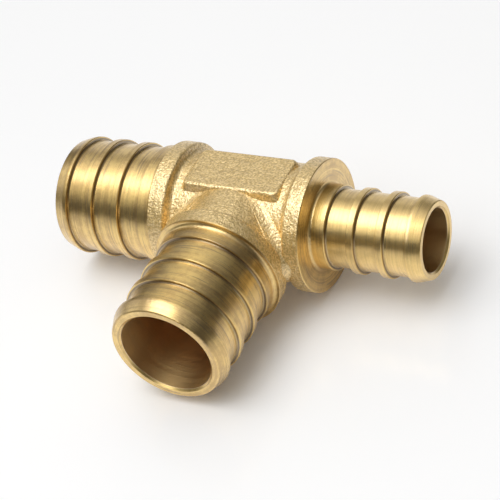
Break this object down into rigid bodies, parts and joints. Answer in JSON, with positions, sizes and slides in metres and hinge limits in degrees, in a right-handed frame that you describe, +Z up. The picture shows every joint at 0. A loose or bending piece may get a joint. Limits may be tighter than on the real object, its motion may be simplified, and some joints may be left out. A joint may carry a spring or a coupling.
{
  "type": "pex reducing tee",
  "caption": "Brass reducing tee with barbed insert ends for crimped plastic tube, a forged body with collars behind the barbs, and a flat pad over the crossing.",
  "frame": {"origin": "where the axes of the run and the branch cross, on the parting plane of the forging", "axes": "+X along the run out of the small port, -X out of the large port, -Y along the branch, +Z up through the pad"},
  "size_m": [0.0556, 0.0371, 0.0186],
  "materials": {
    "brass": "turned bright on the inserts and collar faces, sandy as forged on the body and collar rims"
  },
  "bodies": {
    "root": {"tee_body": "brass"}
  },
  "joints": []
}
